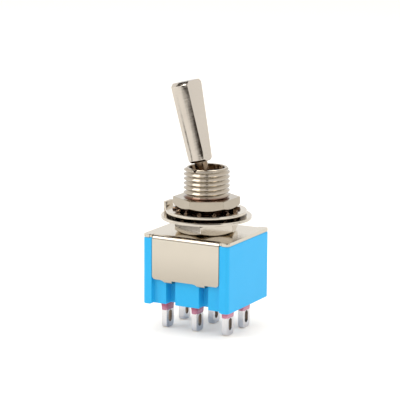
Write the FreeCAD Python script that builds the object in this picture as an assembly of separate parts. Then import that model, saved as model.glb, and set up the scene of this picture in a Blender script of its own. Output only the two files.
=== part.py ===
import FreeCAD, Part
import math
import os

os.makedirs("parts", exist_ok=True)

# Driving sizes, in millimetres and degrees.
# The origin is on the bushing's axis at the cover plate's top face. +Z runs up the bushing, the
# lever swings along X, and the flap at the front looks along -Y.

# Working values: how far cutters reach past a face, how deep joined pieces overlap, and how close an
# edge is to a plane to lie in it
cutter_reach = 1.0
join_overlap = 0.2
edge_tolerance = 0.01

# Solder lugs and the sealing resin at their roots
lug_pitch = 4.7
row_spacing = 4.8
lug_thickness = 0.8
lug_width = 2.0
lug_length = 3.9
lug_tip_radius = 0.55
lug_hole_width = 0.9
lug_hole_height = 1.7
lug_hole_drop = 2.3
slot_clearance = 0.03
seal_height = 1.4
seal_margin = 0.24
seal_taper = 0.12

# Housing
side_wall = 0.9
end_room = 0.6
upper_wall = 0.84
ledge_width = 0.7
floor_thickness = 1.29
partition_thickness = 0.7
partition_drop = 0.1
corner_radius = 0.5
rim_chamfer = 0.15
panel_recess = 0.6
groove_depth = 1.4
groove_width = 1.4
groove_offset = 2.55
groove_wall = 0.6
rebate_drop = 0.12
post_foot = 0.1
foot_margin = 0.1

# Cover: one folded sheet
cover_thickness = 0.45
cover_bend = 0.7
flap_width = 10.3
flap_height = 6.2
flap_side_gap = 0.08
flap_corner_radius = 0.5
flap_relief = 0.22
tab_width = 1.05
tab_drop = 0.42
tab_bend = 0.4
tab_web = 0.75
tab_web_drop = 0.315
tab_web_curve = 0.4
tab_side_gap = 0.1
tab_seat_gap = 0.02
tab_end_gap = 0.7

# Threaded bushing
thread_major = 6.35
thread_pitch = 0.635
thread_groove_width = 0.43
thread_flank_angle = 30.0
bushing_height = 8.9
bushing_chamfer = 0.35
mouth_wall = 0.775
mouth_depth = 1.2
mouth_chamfer = 0.12
bore_wall = 0.925
spigot_wall = 0.42
swage_height = 0.4
swage_margin = 0.6
keyway_width = 0.95
keyway_depth = 0.5

# Lever
lever_throw = 25.0
pivot_drop = 3.6
ball_clearance = 0.05
seat_drop = 1.65
lip_rise = 2.05
stop_clearance = 0.03
neck_radius = 0.9
handle_gap = 0.74
handle_length = 11.2
handle_bottom_radius = 1.64
handle_top_radius = 2.36
handle_bottom_chamfer = 0.3
handle_top_chamfer = 0.45
handle_flats = 2.54
stem_radius = 0.8
stem_end_radius = 0.6
stem_room = 0.1
tip_radius = 0.9
tip_length = 1.8

# Hardware on the bushing
nut_across_flats = 8.0
nut_face_share = 0.96
nut_chamfer_angle = 30.0
lower_nut_height = 1.83
lower_nut_turn = 18.5
upper_nut_height = 1.45
upper_nut_turn = -1.5
washer_bore_clearance = 0.1
ring_radius = 6.25
ring_thickness = 0.42
ring_tab_width = 1.9
ring_tab_height = 1.4
ring_tab_bend = 0.55
ring_tab_inset = 0.05
ring_tab_slit = 0.15
ring_key_clearance = 0.05
washer_radius = 5.55
washer_rim = 1.15
washer_thickness = 0.38
washer_teeth = 14
tooth_width = 1.15
tooth_twist = 44.0
tooth_root = 0.2
tooth_bore_gap = 0.12
seat_gap = 0.01

# Contact mechanism
driver_headroom = 1.15
driver_floor = 0.6
driver_roof = 0.8
slide_clearance = 0.1
driver_end_gap = 0.25
tip_depth = 1.19
tip_clearance = 0.05
tip_floor_gap = 0.2
leg_length = 1.4
leg_width = 1.8
leg_thickness = 2.0
plunger_radius = 0.5
plunger_clearance = 0.05
plunger_reach = 1.52
plunger_seat = 1.0
spring_wire = 0.2
spring_turns = 7
spring_end_gap = 0.01
rocker_width = 1.8
rocker_thickness = 0.3
rocker_overhang = 0.2
rocker_side_room = 0.14
rocker_throw = 12.0
rocker_rib_radius = 0.3
rocker_top_gap = 0.03
waist_room = 0.25
cradle_clearance = 0.03
cradle_gap = 0.08
ear_thickness = 0.25
ear_height = 0.5
ear_clearance = 0.05
contact_inset = 0.3
contact_height = 0.15
contact_sphere = 0.8
contact_gap = 0.02
pad_thickness = 0.35
pad_reach = 0.6

# Sizes that follow from those above
half_throw = math.radians(lever_throw / 2)
thread_radius = thread_major / 2
pitch_radius = thread_radius - 0.32476 * thread_pitch
row_offset = row_spacing / 2
rocker_half_throw = math.radians(rocker_throw / 2)
arm_angle = rocker_half_throw / 2

# Levels above the cover
pivot_z = bushing_height - pivot_drop
ring_bottom = lower_nut_height
ring_top = ring_bottom + ring_thickness
tooth_rise = (
    tooth_width * math.sin(math.radians(tooth_twist))
    + washer_thickness * math.cos(math.radians(tooth_twist))
)
washer_middle = ring_top + seat_gap + tooth_rise / 2
upper_nut_bottom = washer_middle + tooth_rise / 2 + seat_gap
upper_nut_top = upper_nut_bottom + upper_nut_height

# Levels below the cover
driver_top = -cover_thickness - driver_headroom
tip_level = driver_top - tip_depth
stem_length = pivot_z - tip_level
driver_stroke = stem_length * math.sin(half_throw)
slot_floor = tip_level - tip_radius - tip_floor_gap
driver_bottom = slot_floor - driver_floor
ledge_level = driver_bottom - slide_clearance
leg_bottom = driver_bottom - leg_length
plunger_tip = leg_bottom - plunger_reach
plunger_top = leg_bottom + plunger_seat
spring_roof = driver_top - driver_roof
rocker_axis = plunger_tip - rocker_top_gap - rocker_thickness
contact_x = lug_pitch - contact_inset
contact_top = rocker_axis - contact_x * math.tan(arm_angle) - contact_gap
pad_top = contact_top - contact_height
floor_top = pad_top - pad_thickness
housing_bottom = floor_top - floor_thickness
seal_top = housing_bottom + post_foot
flap_bottom = -flap_height
tab_bottom = flap_bottom - tab_drop
groove_top = tab_bottom + cover_thickness + tab_seat_gap

# Half sizes of the body
cavity_half_length = lug_pitch + lug_thickness / 2 + end_room
body_half_length = cavity_half_length + side_wall
rib_face = row_offset + rocker_width / 2 + rocker_side_room
groove_back = rib_face + groove_wall
panel_face = groove_back + groove_depth
body_half_width = panel_face + panel_recess
cavity_half_width = panel_face - upper_wall
chamber_half_width = cavity_half_width - ledge_width
recess_half_width = flap_width / 2 + flap_side_gap

# Radii inside the bushing
mouth_radius = thread_radius - mouth_wall
seat_radius = thread_radius - bore_wall
ball_radius = seat_radius - ball_clearance
lip_radius = lip_rise * math.tan(half_throw) + neck_radius / math.cos(half_throw) + stop_clearance
swage_bottom = -cover_thickness - swage_height
exit_radius = (
    (pivot_z - swage_bottom) * math.tan(half_throw)
    + stem_radius / math.cos(half_throw)
    + stem_room
)
spigot_radius = exit_radius + spigot_wall

UP = FreeCAD.Vector(0, 0, 1)
ALONG_X = FreeCAD.Vector(1, 0, 0)
ALONG_Y = FreeCAD.Vector(0, 1, 0)
ORIGIN = FreeCAD.Vector(0, 0, 0)


def block(low, high):
    """A box between two corners, whichever way round each pair of values is."""
    near = [min(a, b) for a, b in zip(low, high)]
    far = [max(a, b) for a, b in zip(low, high)]
    sizes = [b - a for a, b in zip(near, far)]
    return Part.makeBox(*sizes, FreeCAD.Vector(*near))


def rod(radius, start, direction, length):
    return Part.makeCylinder(radius, length, FreeCAD.Vector(*start), direction)


def turned(profile):
    """A solid of revolution about Z from (radius, height) points."""
    points = [FreeCAD.Vector(r, 0, z) for r, z in profile]
    outline = Part.makePolygon(points + points[:1])
    return Part.Face(outline).revolve(ORIGIN, UP, 360)


def joined(first, *others):
    return first.fuse(list(others)).removeSplitter()


def rounded(shape, radius, direction, keep):
    """The shape with its straight edges along one direction rounded, where keep(middle) is true."""
    chosen = []
    for edge in shape.Edges:
        if not isinstance(edge.Curve, Part.Line):
            continue
        along = edge.tangentAt(edge.FirstParameter)
        if abs(along.dot(direction)) > 0.999 and keep(edge.CenterOfMass):
            chosen.append(edge)
    return shape.makeFillet(radius, chosen)


def mirrored_rear(shape):
    return shape.mirror(ORIGIN, ALONG_Y)


def lug_slots(side):
    """What the housing's floor leaves open for one row of lugs."""
    half_x = lug_thickness / 2 + slot_clearance
    half_y = lug_width / 2 + slot_clearance
    y = side * row_offset
    slots = []
    for x in (-lug_pitch, 0, lug_pitch):
        slots.append(block((x - half_x, y - half_y, housing_bottom), (x + half_x, y + half_y, floor_top)))
    return slots


def contact_chamber(side):
    """The room for one pole, less the ribs that back the two outer grooves."""
    inner = side * partition_thickness / 2
    outer = side * chamber_half_width
    room = block((-cavity_half_length, inner, floor_top), (cavity_half_length, outer, ledge_level))
    rib_half = groove_width / 2 + groove_wall
    for x in (-groove_offset, groove_offset):
        rib = block(
            (x - rib_half, side * rib_face, floor_top),
            (x + rib_half, side * body_half_width, groove_top + groove_wall),
        )
        room = room.cut(rib)
    return room


def outer_recess(side):
    """The sunk panel behind the flap, with a rebate for the bend and two grooves for the tabs."""
    edge = side * (body_half_width + cutter_reach)
    panel = block(
        (-recess_half_width, side * panel_face, housing_bottom - cutter_reach),
        (recess_half_width, edge, 0),
    )
    rebate = block(
        (-recess_half_width, side * (body_half_width - cover_bend), -cover_thickness - rebate_drop),
        (recess_half_width, edge, 0),
    )
    grooves = [rebate]
    for x in (-groove_offset, groove_offset):
        grooves.append(
            block(
                (x - groove_width / 2, side * groove_back, housing_bottom - cutter_reach),
                (x + groove_width / 2, edge, groove_top),
            )
        )
    return panel.fuse(grooves)


def housing():
    top = -cover_thickness
    body = block(
        (-body_half_length, -body_half_width, housing_bottom),
        (body_half_length, body_half_width, top),
    )
    body = rounded(body, corner_radius, UP, lambda middle: True)
    rim = [edge for edge in body.Edges if edge.BoundBox.ZMin > top - edge_tolerance]
    body = body.makeChamfer(rim_chamfer, rim)
    partition_top = ledge_level - partition_drop
    body = body.cut(
        block(
            (-cavity_half_length, -cavity_half_width, ledge_level),
            (cavity_half_length, cavity_half_width, top),
        )
    )
    body = body.cut(
        block(
            (-cavity_half_length, -partition_thickness, partition_top),
            (cavity_half_length, partition_thickness, ledge_level),
        )
    )
    foot_half = lug_pitch + lug_thickness / 2 + seal_margin + foot_margin
    foot_room = block(
        (-foot_half, -body_half_width, housing_bottom), (foot_half, body_half_width, seal_top)
    )
    body = body.cut(foot_room)
    for side in (-1, 1):
        body = body.cut([contact_chamber(side), outer_recess(side)] + lug_slots(side))
    return body


def cover_section():
    """The folded sheet seen along X: a flat top and a flap down each side."""
    y = body_half_width
    inner = cover_bend - cover_thickness
    slant = math.sqrt(0.5)

    def at(side, across, height):
        return FreeCAD.Vector(0, side * across, height)

    def bend(side, radius):
        centre_y = y - cover_bend
        middle = at(side, centre_y + radius * slant, -cover_bend + radius * slant)
        return Part.Arc(
            at(side, centre_y + radius, -cover_bend), middle, at(side, centre_y, radius - cover_bend)
        ).toShape()

    def line(start, end):
        return Part.makeLine(start, end)

    edges = [
        line(at(-1, y, flap_bottom), at(-1, y, -cover_bend)),
        bend(-1, cover_bend),
        line(at(-1, y - cover_bend, 0), at(1, y - cover_bend, 0)),
        bend(1, cover_bend),
        line(at(1, y, -cover_bend), at(1, y, flap_bottom)),
        line(at(1, y, flap_bottom), at(1, y - cover_thickness, flap_bottom)),
        line(at(1, y - cover_thickness, flap_bottom), at(1, y - cover_thickness, -cover_bend)),
        bend(1, inner),
        line(at(1, y - cover_bend, -cover_thickness), at(-1, y - cover_bend, -cover_thickness)),
        bend(-1, inner),
        line(at(-1, y - cover_thickness, -cover_bend), at(-1, y - cover_thickness, flap_bottom)),
        line(at(-1, y - cover_thickness, flap_bottom), at(-1, y, flap_bottom)),
    ]
    return Part.Face(Part.Wire(Part.__sortEdges__(edges)))


def cover_tab(x):
    """One hook of the front flap, folded in under the housing's ledge, with the web at its root."""
    y = -body_half_width
    reach = panel_recess + groove_depth - tab_end_gap
    left = x - groove_width / 2 + tab_side_gap
    hook = block((left, y, tab_bottom), (left + tab_width, y + reach, tab_bottom + cover_thickness))
    drop = block((left, y, tab_bottom), (left + tab_width, y + cover_thickness, flap_bottom + join_overlap))
    hook = joined(hook, drop)
    hook = rounded(
        hook,
        tab_bend,
        ALONG_X,
        lambda middle: middle.y < y + edge_tolerance and middle.z < tab_bottom + edge_tolerance,
    )
    start = FreeCAD.Vector(left - tab_web, y, flap_bottom)
    end = FreeCAD.Vector(left, y, flap_bottom - tab_web_drop)
    sag = FreeCAD.Vector(left - tab_web * tab_web_curve, y, flap_bottom - tab_web_drop * tab_web_curve)
    end_above = FreeCAD.Vector(left, y, flap_bottom + join_overlap)
    start_above = FreeCAD.Vector(left - tab_web, y, flap_bottom + join_overlap)
    outline = Part.Wire(
        [
            Part.Arc(start, sag, end).toShape(),
            Part.makeLine(end, end_above),
            Part.makeLine(end_above, start_above),
            Part.makeLine(start_above, start),
        ]
    )
    web = Part.Face(outline).extrude(FreeCAD.Vector(0, cover_thickness, 0))
    return joined(hook, web)


def frame_cover():
    folded = cover_section().extrude(FreeCAD.Vector(flap_width, 0, 0))
    folded.translate(FreeCAD.Vector(-flap_width / 2, 0, 0))
    folded = rounded(
        folded,
        flap_corner_radius,
        ALONG_Y,
        lambda middle: middle.z < flap_bottom + edge_tolerance,
    )
    plate = block(
        (-body_half_length, -body_half_width, -cover_thickness), (body_half_length, body_half_width, 0)
    )
    plate = rounded(plate, corner_radius, UP, lambda middle: True)
    for side in (-1, 1):
        bend_room = block(
            (-flap_width / 2, side * (body_half_width - cover_bend), -cover_thickness),
            (flap_width / 2, side * body_half_width, 0),
        )
        plate = plate.cut(bend_room)
    sheet = joined(plate, folded)
    for x in (-1, 1):
        for y in (-1, 1):
            centre = (x * (flap_width / 2 + flap_relief), y * body_half_width, -cover_thickness)
            sheet = sheet.cut(rod(flap_relief, centre, UP, cover_thickness))
    sheet = sheet.cut(rod(spigot_radius, (0, 0, -cover_thickness), UP, cover_thickness))
    tabs = [cover_tab(x) for x in (-groove_offset, groove_offset)]
    tabs += [mirrored_rear(tab) for tab in tabs]
    return joined(sheet, *tabs)


def thread_relief():
    """Ring grooves at the thread's pitch above the upper nut, an even number of them, centred there."""
    low = upper_nut_top
    high = bushing_height - bushing_chamfer
    half_width = thread_groove_width / 2
    root_radius = thread_radius - half_width / math.tan(math.radians(thread_flank_angle))
    pairs = int((high - low - thread_groove_width) / thread_pitch + 1) // 2
    lowest = (low + high) / 2 - (pairs - 0.5) * thread_pitch
    corners = []
    for n in range(2 * pairs):
        middle = lowest + n * thread_pitch
        corners.append((thread_radius, middle - half_width))
        corners.append((root_radius, middle))
        corners.append((thread_radius, middle + half_width))
    return corners


def bushing():
    body = turned(
        [
            (0, swage_bottom),
            (spigot_radius + swage_margin, swage_bottom),
            (spigot_radius + swage_margin, -cover_thickness),
            (spigot_radius, -cover_thickness),
            (spigot_radius, 0),
            (pitch_radius, 0),
            (pitch_radius, ring_bottom),
            (thread_radius, ring_bottom),
            (thread_radius, upper_nut_bottom),
            (pitch_radius, upper_nut_bottom),
            (pitch_radius, upper_nut_top),
            (thread_radius, upper_nut_top),
            *thread_relief(),
            (thread_radius, bushing_height - bushing_chamfer),
            (thread_radius - bushing_chamfer, bushing_height),
            (0, bushing_height),
        ]
    )
    mouth_floor = bushing_height - mouth_depth
    lip_top = pivot_z + lip_rise
    seat_level = pivot_z - seat_drop
    seat_hole = math.sqrt(seat_radius**2 - seat_drop**2)
    mouth = turned(
        [
            (0, pivot_z),
            (lip_radius, pivot_z),
            (lip_radius, lip_top),
            (mouth_radius, mouth_floor),
            (mouth_radius, bushing_height - mouth_chamfer),
            (mouth_radius + mouth_chamfer, bushing_height),
            (0, bushing_height),
        ]
    )
    stem_way = turned(
        [(0, swage_bottom), (exit_radius, swage_bottom), (seat_hole, seat_level), (0, seat_level)]
    )
    seat = Part.makeSphere(seat_radius, FreeCAD.Vector(0, 0, pivot_z))
    key_floor = thread_radius - keyway_depth
    keyway = block(
        (-thread_radius - cutter_reach, -keyway_width / 2, 0),
        (-key_floor, keyway_width / 2, bushing_height),
    )
    return body.cut([mouth, stem_way, seat, keyway])


def lever():
    centre = FreeCAD.Vector(0, 0, pivot_z)
    handle_bottom = pivot_z + pivot_drop + handle_gap
    handle_top = handle_bottom + handle_length
    ball = Part.makeSphere(ball_radius, centre)
    neck = rod(neck_radius, (0, 0, pivot_z), UP, handle_bottom + handle_bottom_chamfer - pivot_z)
    handle = turned(
        [
            (0, handle_bottom),
            (handle_bottom_radius - handle_bottom_chamfer, handle_bottom),
            (handle_bottom_radius, handle_bottom + handle_bottom_chamfer),
            (handle_top_radius, handle_top - handle_top_chamfer),
            (handle_top_radius - handle_top_chamfer, handle_top),
            (0, handle_top),
        ]
    )
    between_flats = block(
        (-handle_flats / 2, -handle_top_radius, handle_bottom),
        (handle_flats / 2, handle_top_radius, handle_top),
    )
    handle = handle.common(between_flats)
    stem = Part.makeCone(
        stem_end_radius, stem_radius, stem_length, FreeCAD.Vector(0, 0, pivot_z - stem_length), UP
    )
    tip = rod(tip_radius, (0, -tip_length / 2, pivot_z - stem_length), ALONG_Y, tip_length)
    whole = joined(ball, neck, handle, stem, tip)
    whole.rotate(centre, ALONG_Y, -lever_throw / 2)
    return whole


def hex_nut(bottom, height, turn, flat_top=False):
    """A nut with chamfered or flat top, with one corner turned from -Y by the given angle."""
    corner_radius_nut = nut_across_flats / math.sqrt(3)
    corners = []
    for n in range(6):
        angle = math.radians(turn - 90 + 60 * n)
        corners.append(
            FreeCAD.Vector(
                corner_radius_nut * math.cos(angle), corner_radius_nut * math.sin(angle), bottom
            )
        )
    outline = Part.Face(Part.makePolygon(corners + corners[:1]))
    prism = outline.extrude(FreeCAD.Vector(0, 0, height))
    face_radius = nut_across_flats / 2 * nut_face_share
    slope = (corner_radius_nut - face_radius) * math.tan(math.radians(nut_chamfer_angle))
    top = bottom + height
    top_edge = [(corner_radius_nut, top)]
    if not flat_top:
        top_edge = [(corner_radius_nut, top - slope), (face_radius, top)]
    envelope = turned(
        [
            (0, bottom),
            (face_radius, bottom),
            (corner_radius_nut, bottom + slope),
            *top_edge,
            (0, top),
        ]
    )
    return prism.common(envelope).cut(rod(pitch_radius, (0, 0, bottom), UP, height))


def ring_tab():
    """The locating tab, seen along Y as a bent strip that stands up from the ring's rim."""
    outer = -(ring_radius - ring_tab_inset)
    inner = outer + ring_thickness
    top = ring_top + ring_tab_height
    root = outer + ring_tab_bend + ring_thickness
    half = ring_tab_width / 2
    flat = block((outer, -half, ring_bottom), (root, half, ring_top))
    stand = block((outer, -half, ring_bottom), (inner, half, top))
    strip = joined(flat, stand)
    return rounded(
        strip,
        ring_tab_bend,
        ALONG_Y,
        lambda middle: middle.x < outer + edge_tolerance and middle.z < ring_bottom + edge_tolerance,
    )


def locating_ring():
    bore = thread_radius + washer_bore_clearance
    ring = rod(ring_radius, (0, 0, ring_bottom), UP, ring_thickness)
    ring = ring.cut(rod(bore, (0, 0, ring_bottom), UP, ring_thickness))
    half = ring_tab_width / 2 + ring_tab_slit
    root = -(ring_radius - ring_tab_inset) + ring_tab_bend + ring_thickness / 2
    ring = ring.cut(block((-ring_radius, -half, ring_bottom), (root, half, ring_top)))
    key_half = keyway_width / 2 - ring_key_clearance
    key_end = thread_radius - keyway_depth + ring_key_clearance
    key = block((-bore - join_overlap, -key_half, ring_bottom), (-key_end, key_half, ring_top))
    return joined(ring, key, ring_tab())


def lock_washer():
    low = washer_middle - washer_thickness / 2
    rim = rod(washer_radius, (0, 0, low), UP, washer_thickness)
    rim_inner = washer_radius - washer_rim
    rim = rim.cut(rod(rim_inner, (0, 0, low), UP, washer_thickness))
    tooth_inner = thread_radius + washer_bore_clearance + tooth_bore_gap
    teeth = []
    for n in range(washer_teeth):
        tooth = block(
            (tooth_inner, -tooth_width / 2, low),
            (rim_inner + tooth_root, tooth_width / 2, low + washer_thickness),
        )
        tooth.rotate(FreeCAD.Vector(0, 0, washer_middle), ALONG_X, tooth_twist)
        tooth.rotate(ORIGIN, UP, 360 * n / washer_teeth)
        teeth.append(tooth)
    return joined(rim, *teeth)


def contact_driver():
    """The sliding carriage, at rest pushed to +X by the lever's stem."""
    half_length = cavity_half_length - driver_stroke - driver_end_gap
    half_width = cavity_half_width - slide_clearance
    body = block((-half_length, -half_width, driver_bottom), (half_length, half_width, driver_top))
    legs = []
    bores = []
    for side in (-1, 1):
        y = side * row_offset
        legs.append(
            block(
                (-leg_thickness / 2, y - leg_width / 2, leg_bottom),
                (leg_thickness / 2, y + leg_width / 2, driver_bottom),
            )
        )
        bores.append(
            rod(plunger_radius + plunger_clearance, (0, y, leg_bottom), UP, spring_roof - leg_bottom)
        )
    slot_half_x = tip_radius + tip_clearance
    slot_half_y = tip_length / 2 + tip_clearance
    slot = block((-slot_half_x, -slot_half_y, slot_floor), (slot_half_x, slot_half_y, driver_top))
    carriage = joined(body, *legs).cut(bores + [slot])
    carriage.translate(FreeCAD.Vector(driver_stroke, 0, 0))
    return carriage


def plunger(side):
    """A pin with a round nose, held down on its rocker by the spring above it."""
    centre = FreeCAD.Vector(driver_stroke, side * row_offset, plunger_tip + plunger_radius)
    shank = rod(plunger_radius, tuple(centre), UP, plunger_top - centre.z)
    return joined(shank, Part.makeSphere(plunger_radius, centre))


def spring(side):
    """A helical spring between the carriage's bore roof and the plunger."""
    wire_radius = spring_wire / 2
    coil_radius = plunger_radius - plunger_clearance - wire_radius
    low = plunger_top + wire_radius + spring_end_gap
    high = spring_roof - wire_radius - spring_end_gap
    pitch = (high - low) / spring_turns
    path = Part.makeHelix(pitch, high - low, coil_radius)
    section = Part.Wire(
        Part.makeCircle(wire_radius, FreeCAD.Vector(coil_radius, 0, 0), ALONG_Y)
    )
    coil = Part.Wire(path).makePipeShell([section], True, True)
    coil.translate(FreeCAD.Vector(driver_stroke, side * row_offset, low))
    return coil


def rocker(side):
    """A see-saw contact with its arms bent up a little, at rest down at +X."""
    y = side * row_offset
    half_width = rocker_width / 2
    length = lug_pitch + rocker_overhang
    axis = FreeCAD.Vector(0, y, rocker_axis)
    arms = []
    for end in (-1, 1):
        arm = block(
            (0, y - half_width, rocker_axis), (end * length, y + half_width, rocker_axis + rocker_thickness)
        )
        arm.rotate(axis, ALONG_Y, -end * math.degrees(arm_angle))
        arms.append(arm)
    waist_half = lug_width / 2 - ear_thickness - ear_clearance
    rib = rod(rocker_rib_radius, (0, y - waist_half, rocker_axis), ALONG_Y, 2 * waist_half)
    strip = joined(arms[0], arms[1], rib)
    waist_x = lug_thickness / 2 + waist_room
    for edge in (-1, 1):
        notch = block(
            (-waist_x, y + edge * waist_half, rocker_axis - cutter_reach),
            (waist_x, y + edge * (half_width + cutter_reach), rocker_axis + cutter_reach),
        )
        strip = strip.cut(notch)
    strip.rotate(axis, ALONG_Y, math.degrees(rocker_half_throw))
    return strip


def lug(x, side, top):
    """The flat strip of one terminal, with its round-cornered tip and its wire hole."""
    y = side * row_offset
    tip = housing_bottom - lug_length
    strip = block(
        (x - lug_thickness / 2, y - lug_width / 2, tip), (x + lug_thickness / 2, y + lug_width / 2, top)
    )
    strip = rounded(strip, lug_tip_radius, ALONG_X, lambda middle: middle.z < tip + edge_tolerance)
    radius = lug_hole_width / 2
    middle = housing_bottom - lug_hole_drop
    straight = (lug_hole_height - lug_hole_width) / 2
    start = x - lug_thickness / 2
    hole = [
        rod(radius, (start, y, middle - straight), ALONG_X, lug_thickness),
        rod(radius, (start, y, middle + straight), ALONG_X, lug_thickness),
        block(
            (start, y - radius, middle - straight),
            (start + lug_thickness, y + radius, middle + straight),
        ),
    ]
    return strip.cut(hole)


def end_terminal(end, side):
    """A lug with a flat contact head inside, under one end of the rocker."""
    y = side * row_offset
    strip = lug(end * lug_pitch, side, pad_top)
    pad = block(
        (end * (lug_pitch - lug_thickness / 2 - pad_reach), y - lug_width / 2, floor_top),
        (end * (lug_pitch - lug_thickness / 2), y + lug_width / 2, pad_top),
    )
    ball = Part.makeSphere(
        contact_sphere, FreeCAD.Vector(end * contact_x, y, contact_top - contact_sphere)
    )
    above_pad = block(
        (-body_half_length, -body_half_width, pad_top), (body_half_length, body_half_width, 0)
    )
    return joined(strip, pad, ball.common(above_pad))


def common_terminal(side):
    """The middle lug, with the cradle that the rocker's rib turns in and an ear on each side of it."""
    y = side * row_offset
    top = rocker_axis - cradle_gap
    strip = lug(0, side, top)
    ears = []
    for edge in (-1, 1):
        ears.append(
            block(
                (-lug_thickness / 2, y + edge * (lug_width / 2 - ear_thickness), top),
                (lug_thickness / 2, y + edge * lug_width / 2, rocker_axis + ear_height),
            )
        )
    inside = lug_width - 2 * ear_thickness
    cradle = rod(
        rocker_rib_radius + cradle_clearance, (0, y - inside / 2, rocker_axis), ALONG_Y, inside
    )
    return joined(strip, *ears).cut(cradle)


def seal(x, side):
    """A bead of resin round a lug's root, narrower towards the lug's tip."""
    y = side * row_offset
    bottom = housing_bottom - seal_height
    sections = []
    for level, margin in ((seal_top, seal_margin), (bottom, seal_margin - seal_taper)):
        half_x = lug_thickness / 2 + margin
        half_y = lug_width / 2 + margin
        ring = Part.makePolygon(
            [
                FreeCAD.Vector(x - half_x, y - half_y, level),
                FreeCAD.Vector(x + half_x, y - half_y, level),
                FreeCAD.Vector(x + half_x, y + half_y, level),
                FreeCAD.Vector(x - half_x, y + half_y, level),
                FreeCAD.Vector(x - half_x, y - half_y, level),
            ]
        )
        sections.append(ring)
    bead = Part.makeLoft(sections, True, True)
    core = block(
        (x - lug_thickness / 2, y - lug_width / 2, bottom),
        (x + lug_thickness / 2, y + lug_width / 2, seal_top),
    )
    return bead.cut(core)


def save(node, shape):
    shape.exportStep(f"parts/{node}.step")


save("housing", housing())
save("frame_cover", frame_cover())
save("bushing", bushing())
save("lever", lever())
save("lower_nut", hex_nut(0, lower_nut_height, lower_nut_turn))
save("locating_ring", locating_ring())
save("lock_washer", lock_washer())
save("upper_nut", hex_nut(upper_nut_bottom, upper_nut_height, upper_nut_turn, flat_top=True))
save("contact_driver", contact_driver())
for row, side in (("front", -1), ("rear", 1)):
    save(f"plunger_{row}", plunger(side))
    save(f"spring_{row}", spring(side))
    save(f"rocker_{row}", rocker(side))
    save(f"terminal_{row}_common", common_terminal(side))
    for column, end in (("left", -1), ("right", 1)):
        save(f"terminal_{row}_{column}", end_terminal(end, side))
    for column, x in (("left", -lug_pitch), ("common", 0), ("right", lug_pitch)):
        save(f"seal_{row}_{column}", seal(x, side))
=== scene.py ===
import math

import bpy
import bmesh
from mathutils import Matrix, Vector


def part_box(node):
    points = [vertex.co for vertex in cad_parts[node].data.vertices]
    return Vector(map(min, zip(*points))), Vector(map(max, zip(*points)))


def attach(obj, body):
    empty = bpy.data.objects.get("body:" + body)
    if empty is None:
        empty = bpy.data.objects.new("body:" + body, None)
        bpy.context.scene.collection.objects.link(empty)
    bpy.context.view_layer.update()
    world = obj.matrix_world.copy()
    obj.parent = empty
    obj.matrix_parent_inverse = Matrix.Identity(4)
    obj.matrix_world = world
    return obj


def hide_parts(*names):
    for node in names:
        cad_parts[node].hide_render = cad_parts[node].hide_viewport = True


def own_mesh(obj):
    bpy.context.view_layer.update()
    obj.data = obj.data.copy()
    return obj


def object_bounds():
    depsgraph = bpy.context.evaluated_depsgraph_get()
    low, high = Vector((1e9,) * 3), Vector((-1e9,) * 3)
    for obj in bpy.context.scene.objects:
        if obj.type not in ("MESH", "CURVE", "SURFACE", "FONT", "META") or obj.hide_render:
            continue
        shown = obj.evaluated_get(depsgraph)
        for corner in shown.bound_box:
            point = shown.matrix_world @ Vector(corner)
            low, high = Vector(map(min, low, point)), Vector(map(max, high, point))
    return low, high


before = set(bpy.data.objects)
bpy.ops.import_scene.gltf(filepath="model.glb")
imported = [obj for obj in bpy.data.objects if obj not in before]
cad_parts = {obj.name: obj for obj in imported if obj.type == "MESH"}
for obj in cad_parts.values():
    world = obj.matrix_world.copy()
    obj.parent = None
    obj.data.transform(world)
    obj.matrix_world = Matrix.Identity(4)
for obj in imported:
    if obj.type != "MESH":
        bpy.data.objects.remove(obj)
cad_box = [list(corner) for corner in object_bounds()]

# Pieces are shaped in millimetres and brought to metres once they are finished.
MM = 0.001
NEAR = 0.01
ROWS = ("front", "rear")
COLUMNS = ("left", "common", "right")

# The bushing's thread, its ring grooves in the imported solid, and the cutter of the helix
THREAD_PITCH = 0.635
THREAD_CREST = 3.175
THREAD_FLOOR = 2.72
THREAD_START = 0.9
THREAD_TURNS = 13
STEPS_PER_TURN = 72
RING_ROOT = 2.8026
KEYWAY_HALF = 0.475
GROOVE_PROUD = 0.05
GROOVE_MOUTH = THREAD_PITCH * 0.985
GROOVE_ROOT_SHARE = 0.1

# A lug's wire hole: half its width, and its two ends measured from the lug's tip
HOLE_HALF, HOLE_FOOT, HOLE_HEAD = 0.47, 0.7, 2.6

# A resin collar: its corners, and how far each side draws in at shares of its height
COLLAR_CORNER = 0.28
COLLAR_TAPER = ((0.18, 0.06), (0.4, 0.07), (0.7, 0.05), (0.92, 0.03), (1.0, 0.07))

# The photo's camera: its shift is in millimetres, to the left and up
CAMERA_AZIMUTH = math.radians(28.517)
CAMERA_ELEVATION = math.radians(11.649)
CAMERA_ROLL = math.radians(0.339)
CAMERA_DISTANCE = 285.169 * MM
CAMERA_LEFT, CAMERA_UP = 0.873, 4.175
CAMERA_LENS, SENSOR_WIDTH = 186.6, 36

# The stage, in metres
FLOOR = cad_box[0][2]
FLOOR_SIZE = 4
FLOOR_LIFT = 0.26
GROUND = FLOOR + 0.0005
CEILING = 0.12
DRUM_RADIUS = 0.085


def solid_box(node):
    """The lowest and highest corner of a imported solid, in millimetres."""
    low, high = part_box(node)
    return low / MM, high / MM


def activate(piece):
    bpy.ops.object.select_all(action="DESELECT")
    piece.select_set(True)
    bpy.context.view_layer.objects.active = piece


def edit(piece, kind="FACE"):
    activate(piece)
    bpy.ops.object.mode_set(mode="EDIT")
    bpy.ops.mesh.select_mode(type=kind)


def leave_edit():
    bpy.ops.object.mode_set(mode="OBJECT")


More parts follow.
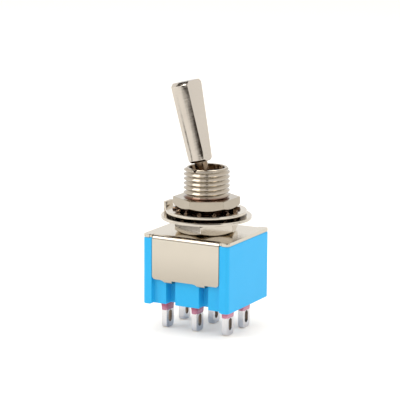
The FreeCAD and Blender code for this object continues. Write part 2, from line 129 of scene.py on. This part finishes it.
def pick(piece, kind, test):
    """Selects, in edit mode, only the vertices, edges or faces that pass the test."""
    bpy.ops.mesh.select_all(action="DESELECT")
    shape = bmesh.from_edit_mesh(piece.data)
    for part in getattr(shape, kind):
        part.select_set(test(part))
    shape.select_flush_mode()
    bmesh.update_edit_mesh(piece.data)


def apply(piece, kind, **settings):
    """Adds one modifier with its settings and applies it."""
    activate(piece)
    modifier = piece.modifiers.new(kind.title(), kind)
    for name, value in settings.items():
        setattr(modifier, name, value)
    bpy.ops.object.modifier_apply(modifier=modifier.name)


def carve(piece, tool):
    apply(piece, "BOOLEAN", operation="DIFFERENCE", solver="EXACT", object=tool)
    bpy.data.objects.remove(tool)


def copy_of_solid(node, name):
    """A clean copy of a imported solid, in millimetres, with flat faces in one piece."""
    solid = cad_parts[node]
    piece = bpy.data.objects.new(name, solid.data.copy())
    bpy.context.scene.collection.objects.link(piece)
    piece.data.transform(Matrix.Scale(1 / MM, 4))
    edit(piece)
    bpy.ops.mesh.select_all(action="SELECT")
    bpy.ops.mesh.remove_doubles(threshold=0.0005)
    bpy.ops.mesh.dissolve_limited(angle_limit=math.radians(0.6))
    leave_edit()
    return piece


def soften(piece, width, angle=28, segments=2):
    """Rounds the edges that are sharper than the angle."""
    apply(
        piece,
        "BEVEL",
        width=width,
        segments=segments,
        limit_method="ANGLE",
        angle_limit=math.radians(angle),
        use_clamp_overlap=True,
        miter_outer="MITER_ARC",
    )


def finish_piece(piece, material, body, nodes, smooth=32):
    """Brings a piece to metres, gives it its finish, and lets it ride in place of its solids."""
    piece.data.transform(Matrix.Scale(MM, 4))
    piece.data.materials.clear()
    piece.data.materials.append(material)
    activate(piece)
    bpy.ops.object.shade_smooth_by_angle(angle=math.radians(smooth))
    apply(piece, "WEIGHTED_NORMAL", keep_sharp=True)
    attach(piece, body)
    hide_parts(*nodes)


# Shader nodes


def set_inputs(node, values):
    for name, value in values.items():
        node.inputs[name].default_value = value


def calculated(tree, operation, *values):
    """The result of one math node, whose values are sockets or numbers."""
    node = tree.nodes.new("ShaderNodeMath")
    node.operation = operation
    for place, value in enumerate(values):
        if isinstance(value, (int, float)):
            node.inputs[place].default_value = value
        else:
            tree.links.new(value, node.inputs[place])
    return node.outputs["Value"]


def coloured(tree, factor, first, second, blend="MIX"):
    """The first colour, a socket, turned by the factor into the second or multiplied by it."""
    node = tree.nodes.new("ShaderNodeMix")
    node.data_type = "RGBA"
    node.blend_type = blend
    node.inputs["B"].default_value = (*second, 1)
    tree.links.new(factor, node.inputs["Factor"])
    tree.links.new(first, node.inputs["A"])
    return node.outputs["Result"]


def eased(tree, value, start, end, ramp="SMOOTHSTEP"):
    """0 at the start and 1 at the end, with a soft step between them, either way round."""
    step = tree.nodes.new("ShaderNodeMapRange")
    step.interpolation_type = ramp
    set_inputs(step, {"From Min": start, "From Max": end})
    tree.links.new(value, step.inputs["Value"])
    return step.outputs["Result"]


def new_material(name):
    material = bpy.data.materials.new(name)
    material.use_nodes = True
    return material


def principled(material):
    return material.node_tree.nodes["Principled BSDF"]


# Finishes


def grain_group():
    """Uneven tone and roughness with a fine relief, for metal, plastic and resin."""
    group = bpy.data.node_groups.new("surface_grain", "ShaderNodeTree")
    for name, kind, way in (
        ("Place", "NodeSocketVector", "INPUT"),
        ("Colour", "NodeSocketColor", "INPUT"),
        ("Darker", "NodeSocketFloat", "INPUT"),
        ("Patch Scale", "NodeSocketFloat", "INPUT"),
        ("Grain Scale", "NodeSocketFloat", "INPUT"),
        ("Roughness", "NodeSocketFloat", "INPUT"),
        ("Spread", "NodeSocketFloat", "INPUT"),
        ("Depth", "NodeSocketFloat", "INPUT"),
        ("Stretch", "NodeSocketVector", "INPUT"),
        ("Colour", "NodeSocketColor", "OUTPUT"),
        ("Roughness", "NodeSocketFloat", "OUTPUT"),
        ("Normal", "NodeSocketVector", "OUTPUT"),
    ):
        group.interface.new_socket(name=name, in_out=way, socket_type=kind)
    nodes = group.nodes
    link = group.links.new
    inside = nodes.new("NodeGroupInput")
    outside = nodes.new("NodeGroupOutput")
    stretched = nodes.new("ShaderNodeVectorMath")
    stretched.operation = "MULTIPLY"
    link(inside.outputs["Place"], stretched.inputs[0])
    link(inside.outputs["Stretch"], stretched.inputs[1])
    patches = nodes.new("ShaderNodeTexNoise")
    patches.inputs["Detail"].default_value = 4.0
    link(inside.outputs["Place"], patches.inputs["Vector"])
    link(inside.outputs["Patch Scale"], patches.inputs["Scale"])
    grain = nodes.new("ShaderNodeTexNoise")
    grain.inputs["Detail"].default_value = 3.0
    link(stretched.outputs["Vector"], grain.inputs["Vector"])
    link(inside.outputs["Grain Scale"], grain.inputs["Scale"])
    shade = calculated(group, "MULTIPLY", patches.outputs["Fac"], inside.outputs["Darker"])
    tone = coloured(group, shade, inside.outputs["Colour"], (0.25, 0.25, 0.27), "MULTIPLY")
    link(tone, outside.inputs["Colour"])
    both = calculated(group, "ADD", patches.outputs["Fac"], grain.outputs["Fac"])
    centred = calculated(group, "SUBTRACT", calculated(group, "MULTIPLY", both, 0.5), 0.5)
    rough = calculated(
        group, "MULTIPLY_ADD", centred, inside.outputs["Spread"], inside.outputs["Roughness"]
    )
    link(rough, outside.inputs["Roughness"])
    relief = nodes.new("ShaderNodeBump")
    relief.inputs["Distance"].default_value = 0.00002
    link(inside.outputs["Depth"], relief.inputs["Strength"])
    link(grain.outputs["Fac"], relief.inputs["Height"])
    link(relief.outputs["Normal"], outside.inputs["Normal"])
    return group


GRAIN = grain_group()


def finish(
    name, colour, metallic, roughness, darker, spread, depth, patch, grain,
    stretch=(1, 1, 1), lean=0.0,
):
    """One Principled material with the shared grain on it, turned about Y by the lean in degrees.

    Darker is the patches' strength, spread that of the uneven roughness and depth that of the
    relief. Patch and grain are the two noises' scales.
    """
    material = new_material(name)
    shader = principled(material)
    nodes = material.node_tree.nodes
    surface = nodes.new("ShaderNodeGroup")
    surface.node_tree = GRAIN
    set_inputs(
        surface,
        {
            "Colour": (*colour, 1.0),
            "Darker": darker,
            "Patch Scale": patch,
            "Grain Scale": grain,
            "Roughness": roughness,
            "Spread": spread,
            "Depth": depth,
            "Stretch": stretch,
        },
    )
    link = material.node_tree.links.new
    place = nodes.new("ShaderNodeTexCoord")
    turned = nodes.new("ShaderNodeMapping")
    turned.inputs["Rotation"].default_value = (0, math.radians(lean), 0)
    link(place.outputs["Object"], turned.inputs["Vector"])
    link(turned.outputs["Vector"], surface.inputs["Place"])
    link(surface.outputs["Colour"], shader.inputs["Base Color"])
    link(surface.outputs["Roughness"], shader.inputs["Roughness"])
    link(surface.outputs["Normal"], shader.inputs["Normal"])
    shader.inputs["Metallic"].default_value = metallic
    return material


def nickel_plate(name, colour):
    return finish(name, colour, 1.0, 0.14, 0.12, 0.1, 0.06, 500, 9000)


def painted_shade_or_tint(material, tint, radius=-20.0, height=-20.0, edge=0.12):
    """Tints what lies nearer the Z axis than the radius or lower than the height, as painted shade
    or a paler tone.

    Both are in millimetres, and lean with the finish. The tint fades in over the edge.
    """
    tree = material.node_tree
    shader = principled(material)
    painted = shader.inputs["Base Color"].links[0].from_socket
    parts = tree.nodes.new("ShaderNodeSeparateXYZ")
    tree.links.new(tree.nodes["Mapping"].outputs["Vector"], parts.inputs["Vector"])
    across = tree.nodes.new("ShaderNodeCombineXYZ")
    tree.links.new(parts.outputs["X"], across.inputs["X"])
    tree.links.new(parts.outputs["Y"], across.inputs["Y"])
    distance = tree.nodes.new("ShaderNodeVectorMath")
    distance.operation = "LENGTH"
    tree.links.new(across.outputs["Vector"], distance.inputs[0])
    inside = eased(tree, distance.outputs["Value"], (radius + edge) * MM, radius * MM)
    below = eased(tree, parts.outputs["Z"], (height + edge) * MM, height * MM)
    either = calculated(tree, "MAXIMUM", inside, below)
    tree.links.new(
        coloured(tree, either, painted, tint, "MULTIPLY"), shader.inputs["Base Color"]
    )


def neutral_bounce(material, colour):
    """Light that the piece throws on its surroundings takes this colour and tints them less."""
    tree = material.node_tree
    shader = principled(material)
    painted = shader.inputs["Base Color"].links[0].from_socket
    path = tree.nodes.new("ShaderNodeLightPath")
    thrown = coloured(tree, path.outputs["Is Diffuse Ray"], painted, colour)
    tree.links.new(thrown, shader.inputs["Base Color"])


PALE_NICKEL = (0.70, 0.63, 0.53)

blue_plastic = finish("blue_plastic", (0.012, 0.47, 0.88), 0.0, 0.4, 0.06, 0.12, 0.12, 350, 12000)
neutral_bounce(blue_plastic, (0.19, 0.5, 0.78))
cover_tin = finish(
    "cover_tin", (0.70, 0.63, 0.52), 1.0, 0.16, 0.06, 0.1, 0.05, 250, 6000, (1, 1, 0.08)
)
# Painted shade: the cover grows darker towards its lower edge, for the shaded floor that it
# reflects there
painted_shade_or_tint(cover_tin, (0.78, 0.77, 0.76), height=-7.5, edge=6)
nickel = nickel_plate("nickel", PALE_NICKEL)
dull_nickel = finish("dull_nickel", (0.57, 0.5, 0.41), 1.0, 0.13, 0.25, 0.15, 0.1, 600, 9000)
# Painted shade, light, deep in the thread's grooves
painted_shade_or_tint(dull_nickel, (0.88, 0.86, 0.82), radius=2.9, edge=0.2)
# Painted shade inside the bore
painted_shade_or_tint(dull_nickel, (0.4, 0.32, 0.25), radius=2.42)
# Painted shadow, dark red-brown, at the foot of the thread just above the upper nut
painted_shade_or_tint(dull_nickel, (0.3, 0.17, 0.13), height=4.9, edge=0.35)
worn_nickel = nickel_plate("worn_nickel", (0.5, 0.435, 0.345))
ring_nickel = nickel_plate("ring_nickel", PALE_NICKEL)
# Painted shadow on the ring's top, under and beside the lock washer's rim
painted_shade_or_tint(ring_nickel, (0.1, 0.07, 0.05), radius=5.5)
washer_nickel = nickel_plate("washer_nickel", PALE_NICKEL)
# Painted shade on the washer round the foot of the upper nut
painted_shade_or_tint(washer_nickel, (0.24, 0.18, 0.14), radius=4.7, edge=0.05)
lever_chrome = finish(
    "lever_chrome", (0.66, 0.59, 0.505), 1.0, 0.17, 0.06, 0.5, 0.4, 300, 5000, (0.14, 0.14, 1), 12.5
)
# Painted shade on the lever's lower part, its neck and ball, where it enters the bushing
painted_shade_or_tint(lever_chrome, (0.45, 0.36, 0.28), height=9.4)
lug_tin = finish("lug_tin", (0.93, 0.885, 0.85), 1.0, 0.2, 0.2, 0.2, 0.15, 700, 6000)
# Painted shade, dark brown, for the walls inside the lugs' wire holes
painted_slot_shade = finish("painted_slot_shade", (0.4, 0.31, 0.24), 1.0, 0.45, 0.2, 0.2, 0.15, 700, 6000)
red_resin = finish("red_resin", (0.56, 0.09, 0.17), 0.0, 0.16, 0.2, 0.1, 0.1, 900, 4000)
painted_shade_or_tint(red_resin, (1.25, 2.6, 1.9), height=-10.9, edge=0.6)
principled(red_resin).inputs["Coat Weight"].default_value = 0.5
ivory_plastic = finish("ivory_plastic", (0.72, 0.68, 0.58), 0.0, 0.5, 0.1, 0.15, 0.15, 400, 9000)
turned_brass = finish(
    "turned_brass", (0.78, 0.58, 0.25), 1.0, 0.25, 0.15, 0.15, 0.1, 700, 9000, (0.1, 0.1, 1)
)
spring_wire = finish("spring_wire", (0.55, 0.55, 0.56), 1.0, 0.3, 0.1, 0.1, 0.1, 900, 9000)
silvered = finish("silvered", (0.86, 0.85, 0.82), 1.0, 0.25, 0.15, 0.15, 0.1, 700, 9000)

# Bushing: a copy of the turned solid with the helical groove cut into it


def thread_groove():
    """A V-shaped strip wound round the Z axis, as wide at the crests as the thread's grooves."""
    outer = THREAD_CREST + GROOVE_PROUD
    middle = ((outer + THREAD_FLOOR) / 2, 0, THREAD_START)
    bpy.ops.object.select_all(action="DESELECT")
    bpy.ops.mesh.primitive_plane_add(size=1, location=middle, rotation=(math.pi / 2, 0, 0))
    groove = bpy.context.object
    bpy.ops.object.transform_apply(location=True, rotation=True, scale=True)
    edit(groove, "VERT")
    bpy.ops.mesh.select_all(action="SELECT")
    bpy.ops.transform.resize(
        value=(outer - THREAD_FLOOR, 1, GROOVE_MOUTH), center_override=middle
    )
    pick(groove, "verts", lambda vert: vert.co.x < THREAD_FLOOR + NEAR)
    bpy.ops.transform.resize(
        value=(1, 1, GROOVE_ROOT_SHARE), center_override=(THREAD_FLOOR, 0, THREAD_START)
    )
    bpy.ops.mesh.select_all(action="SELECT")
    bpy.ops.mesh.delete(type="ONLY_FACE")
    leave_edit()
    apply(
        groove,
        "SCREW",
        screw_offset=THREAD_PITCH,
        iterations=THREAD_TURNS,
        steps=STEPS_PER_TURN,
        render_steps=STEPS_PER_TURN,
        use_merge_vertices=False,
    )
    edit(groove, "EDGE")
    bpy.ops.mesh.select_all(action="SELECT")
    bpy.ops.mesh.fill_holes(sides=4)
    bpy.ops.mesh.normals_make_consistent(inside=False)
    leave_edit()
    return groove


def fill_ring_grooves(piece):
    """Brings the roots of the solid's ring grooves out to the crests, where the helix is cut."""

    def at_root(vert):
        return abs(math.hypot(vert.co.x, vert.co.y) - RING_ROOT) < NEAR

    def at_keyway(vert):
        return vert.co.x < 0 and abs(abs(vert.co.y) - KEYWAY_HALF) < NEAR

    edit(piece, "VERT")
    pick(piece, "verts", lambda vert: at_root(vert) and at_keyway(vert))
    crest_edge = math.sqrt(THREAD_CREST**2 - KEYWAY_HALF**2)
    root_edge = math.sqrt(RING_ROOT**2 - KEYWAY_HALF**2)
    bpy.ops.transform.translate(value=(root_edge - crest_edge, 0, 0))
    pick(piece, "verts", at_root)
    outward = THREAD_CREST / RING_ROOT
    bpy.ops.transform.resize(value=(outward, outward, 1), center_override=(0, 0, 0))
    leave_edit()


bushing = copy_of_solid("bushing", "bushing_threaded")
fill_ring_grooves(bushing)
carve(bushing, thread_groove())
finish_piece(bushing, dull_nickel, "body", ["bushing"], 40)

# Housing, cover, nuts, ring, washer and lever: copies of their solids with softened edges
for node, material, slot, width in (
    ("frame_cover", cover_tin, "cover", 0.06),
    ("lower_nut", nickel, "hardware", 0.06),
    ("upper_nut", worn_nickel, "hardware", 0.06),
    ("locating_ring", ring_nickel, "hardware", 0.05),
    ("lock_washer", washer_nickel, "hardware", 0.03),
    ("housing", blue_plastic, "housing", 0.06),
):
    piece = copy_of_solid(node, node + "_soft")
    soften(piece, width)
    finish_piece(piece, material, "body", [node])

lever = copy_of_solid("lever", "lever_soft")
soften(lever, 0.05, segments=3)
finish_piece(lever, lever_chrome, "lever", ["lever"])

# Lugs and the resin round their roots


def paint_shade_in_slot(lug, node):
    """Gives the walls inside a lug's wire hole a dark brown finish of painted shade."""
    low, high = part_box(node)
    lug.data.materials.append(painted_slot_shade)
    for face in lug.data.polygons:
        across = abs(face.center.y - (low.y + high.y) / 2) / MM
        up = (face.center.z - low.z) / MM
        if abs(face.normal.x) < 0.5 and across < HOLE_HALF and HOLE_FOOT < up < HOLE_HEAD:
            face.material_index = 1


def resin_collar(name, node):
    """Resin that climbs a little way along a lug, wide at the body and thin at its lower edge."""
    low, high = solid_box(node)
    middle = (low + high) / 2
    wide, deep, tall = high.x - low.x, high.y - low.y, high.z - low.z
    bpy.ops.object.select_all(action="DESELECT")
    bpy.ops.mesh.primitive_plane_add(size=1, location=(middle.x, middle.y, high.z))
    collar = bpy.context.object
    collar.name = name
    bpy.ops.object.transform_apply(location=True, rotation=True, scale=True)
    edit(collar, "VERT")
    bpy.ops.mesh.select_all(action="SELECT")
    bpy.ops.transform.resize(value=(wide, deep, 1), center_override=tuple(middle))
    bpy.ops.mesh.bevel(offset=COLLAR_CORNER, segments=4, affect="VERTICES")
    bpy.ops.mesh.select_all(action="SELECT")
    level = high.z
    for share, draw in COLLAR_TAPER:
        step = level - (high.z - tall * share)
        level -= step
        bpy.ops.mesh.extrude_region_move(TRANSFORM_OT_translate={"value": (0, 0, -step)})
        bpy.ops.mesh.select_mode(type="VERT")
        bpy.ops.transform.resize(
            value=(1 - draw / wide * 2, 1 - draw / deep * 2, 1),
            center_override=(middle.x, middle.y, level),
        )
    bpy.ops.mesh.select_all(action="SELECT")
    bpy.ops.mesh.normals_make_consistent(inside=False)
    leave_edit()
    return collar


for row in ROWS:
    for column in COLUMNS:
        node = f"terminal_{row}_{column}"
        lug = copy_of_solid(node, f"lug_{row}_{column}")
        soften(lug, 0.05)
        finish_piece(lug, lug_tin, "body", [node])
        paint_shade_in_slot(lug, node)

for row in ROWS:
    for column in COLUMNS:
        node = f"seal_{row}_{column}"
        collar = resin_collar(f"collar_{row}_{column}", node)
        finish_piece(collar, red_resin, "body", [node], 50)

# Hidden pieces keep their solids and get their finish, and the springs are copies that ride with
# the carriage


def give_finish(node, material):
    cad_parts[node].data.materials.clear()
    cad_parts[node].data.materials.append(material)


def coil(row):
    """A copy of a spring with a mesh of its own, which rides with the carriage."""
    node, joint_name = f"spring_{row}", f"plunger_{row}_slide"
    piece = copy_of_solid(node, f"coil_{row}")
    finish_piece(piece, spring_wire, "carriage", [node], 50)
    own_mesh(piece)


give_finish("contact_driver", ivory_plastic)
for row in ROWS:
    give_finish(f"plunger_{row}", turned_brass)
    give_finish(f"rocker_{row}", silvered)
    coil(row)

# Floor, cards that only metal shows, lamps and camera


def white_floor():
    """A floor whose white is lifted for the camera alone, with more red than blue in the lift."""
    bpy.ops.object.select_all(action="DESELECT")
    bpy.ops.mesh.primitive_plane_add(size=FLOOR_SIZE, location=(0, 0, FLOOR))
    floor = bpy.context.object
    floor.name = "floor"
    bpy.ops.object.transform_apply(location=True)
    paper = new_material("floor_paper")
    shader = principled(paper)
    set_inputs(
        shader,
        {
            "Base Color": (0.92, 0.92, 0.92, 1),
            "Roughness": 0.6,
            "Specular IOR Level": 0.1,
            "Emission Color": (1, 0.85, 0.6, 1),
        },
    )
    path = paper.node_tree.nodes.new("ShaderNodeLightPath")
    lift = calculated(paper.node_tree, "MULTIPLY", path.outputs["Is Camera Ray"], FLOOR_LIFT)
    paper.node_tree.links.new(lift, shader.inputs["Emission Strength"])
    floor.data.materials.append(paper)


def black_cloth(name, glow=0.0):
    """Dark cloth with no gloss, which shines white by its glow."""
    cloth = new_material(name)
    set_inputs(
        principled(cloth),
        {
            "Base Color": (0.02, 0.012, 0.007, 1),
            "Roughness": 1,
            "Specular IOR Level": 0,
            "Emission Color": (1, 1, 1, 1),
            "Emission Strength": glow,
        },
    )
    return cloth


def only_in_metal(card):
    """Leaves a card to glossy rays, unseen by the camera and without a shadow."""
    card.visible_camera = False
    card.visible_diffuse = False
    card.visible_shadow = False


def dark_card(name, start, full, end, gone, low, high, foot, slant=0.0):
    """Part of a tall drum round the object that only metal shows, in degrees and metres.

    It fades in from its start until it is full, sooner higher up by the slant in degrees per
    millimetre, and fades out from its end until it is gone. Its lower edge fades in over the
    height of its foot.
    """
    bpy.ops.object.select_all(action="DESELECT")
    bpy.ops.mesh.primitive_cylinder_add(
        vertices=180,
        radius=DRUM_RADIUS,
        depth=high - low,
        end_fill_type="NOTHING",
        location=(0, 0, (low + high) / 2),
    )
    card = bpy.context.object
    card.name = name
    bpy.ops.object.transform_apply(location=True)
    edit(card)

    def outside(face):
        middle = face.calc_center_median()
        azimuth = math.degrees(math.atan2(middle.x, -middle.y))
        return not start - slant * high / MM <= azimuth <= gone

    pick(card, "faces", outside)
    bpy.ops.mesh.delete(type="FACE")
    leave_edit()
    cloth = black_cloth(name)
    tree = cloth.node_tree
    place = tree.nodes.new("ShaderNodeTexCoord")
    parts = tree.nodes.new("ShaderNodeSeparateXYZ")
    tree.links.new(place.outputs["Object"], parts.inputs["Vector"])
    up = parts.outputs["Z"]
    towards_front = calculated(tree, "MULTIPLY", parts.outputs["Y"], -1)
    azimuth = calculated(tree, "ARCTAN2", parts.outputs["X"], towards_front)
    slanted = calculated(tree, "MULTIPLY_ADD", up, math.radians(slant) / MM, azimuth)
    fade_in = eased(tree, slanted, math.radians(start), math.radians(full), "LINEAR")
    fade_out = eased(tree, azimuth, math.radians(gone), math.radians(end))
    between = calculated(tree, "MULTIPLY", fade_in, fade_out)
    cover = calculated(tree, "MULTIPLY", between, eased(tree, up, low, low + foot))
    shown = tree.nodes.new("ShaderNodeMixShader")
    clear = tree.nodes.new("ShaderNodeBsdfTransparent")
    tree.links.new(cover, shown.inputs["Fac"])
    tree.links.new(clear.outputs["BSDF"], shown.inputs[1])
    tree.links.new(principled(cloth).outputs["BSDF"], shown.inputs[2])
    tree.links.new(shown.outputs["Shader"], tree.nodes["Material Output"].inputs["Surface"])
    card.data.materials.append(cloth)
    only_in_metal(card)


def flat_card(name, left, right, back, front, height, glow=0.0):
    """A level card that only metal shows, its sides turned towards the camera, in metres.

    Left and right are measured across the view, back and front towards the camera.
    """
    bpy.ops.object.select_all(action="DESELECT")
    bpy.ops.mesh.primitive_plane_add(size=1)
    card = bpy.context.object
    card.name = name
    size = Matrix.Diagonal((right - left, front - back, 1, 1))
    place = Matrix.Translation(((left + right) / 2, -(back + front) / 2, height))
    card.data.transform(Matrix.Rotation(CAMERA_AZIMUTH, 4, "Z") @ place @ size)
    card.data.materials.append(black_cloth(name, glow))
    only_in_metal(card)


def softbox(name, place, size, power):
    """A lamp aimed at the origin, which metal doesn't show."""
    light = bpy.data.lights.new(name, "AREA")
    light.shape = "RECTANGLE"
    light.size, light.size_y = size
    light.energy = power
    holder = bpy.data.objects.new(name, light)
    holder.location = place
    aim = Vector((0, 0, 0)) - Vector(place)
    holder.rotation_euler = aim.to_track_quat("-Z", "Y").to_euler()
    holder.visible_glossy = False
    bpy.context.scene.collection.objects.link(holder)


def white_room(elsewhere):
    """A world of strength 1 for camera, glossy and transmitted rays, and lower for all others."""
    world = bpy.data.worlds.new("white_room")
    bpy.context.scene.world = world
    world.use_nodes = True
    tree = world.node_tree
    path = tree.nodes.new("ShaderNodeLightPath")
    seen = calculated(
        tree, "MAXIMUM", path.outputs["Is Camera Ray"], path.outputs["Is Glossy Ray"]
    )
    through = calculated(tree, "MAXIMUM", seen, path.outputs["Is Transmission Ray"])
    strength = calculated(tree, "MULTIPLY_ADD", through, 1 - elsewhere, elsewhere)
    background = tree.nodes["Background"]
    background.inputs["Color"].default_value = (1, 1, 1, 1)
    tree.links.new(strength, background.inputs["Strength"])


def photo_camera():
    back = Vector(
        (
            math.sin(CAMERA_AZIMUTH) * math.cos(CAMERA_ELEVATION),
            -math.cos(CAMERA_AZIMUTH) * math.cos(CAMERA_ELEVATION),
            math.sin(CAMERA_ELEVATION),
        )
    )
    right = Vector((math.cos(CAMERA_AZIMUTH), math.sin(CAMERA_AZIMUTH), 0))
    up = back.cross(right)
    across = right * math.cos(CAMERA_ROLL) + up * math.sin(CAMERA_ROLL)
    upward = up * math.cos(CAMERA_ROLL) - right * math.sin(CAMERA_ROLL)
    data = bpy.data.cameras.new("photo_camera")
    data.lens = CAMERA_LENS
    data.sensor_width = SENSOR_WIDTH
    data.clip_start = 0.01
    camera = bpy.data.objects.new("photo_camera", data)
    place = back * CAMERA_DISTANCE - across * CAMERA_LEFT * MM + upward * CAMERA_UP * MM
    turn = Matrix((across, upward, back)).transposed().to_4x4()
    camera.matrix_world = Matrix.Translation(place) @ turn
    bpy.context.scene.collection.objects.link(camera)
    bpy.context.scene.camera = camera


white_floor()
dark_card("camera_side_flag", -12, 50, 64, 66, -0.006, 0.03, 0.004, slant=2.6)
dark_card("low_right_flag", 80, 94, 122, 136, -0.0145, -0.007, 0.002)
flat_card("ceiling_strip", -0.013, 0.013, -0.065, 0.1, CEILING)
flat_card("ceiling_left", -0.12, -0.013, -0.05, 0.0, CEILING)
flat_card("rim_glow_left", -0.078, -0.022, 0.006, 0.03, CEILING, glow=6)
flat_card("rim_glow_right", 0.022, 0.078, 0.006, 0.03, CEILING, glow=6)
flat_card("bend_glow", -0.2, -0.082, 0.008, 0.1, CEILING, glow=3)
flat_card("ground_left", -0.08, -0.062, 0.002, 0.022, GROUND)
softbox("left_softbox", (-0.35, -0.22, 0.2), (0.3, 0.4), 0.93)
softbox("right_softbox", (0.4, -0.05, 0.2), (0.3, 0.4), 0.58)
softbox("top_softbox", (0, 0.05, 0.45), (0.35, 0.35), 0.6)
white_room(elsewhere=0.7)
photo_camera()
bpy.context.scene.view_settings.view_transform = "Standard"
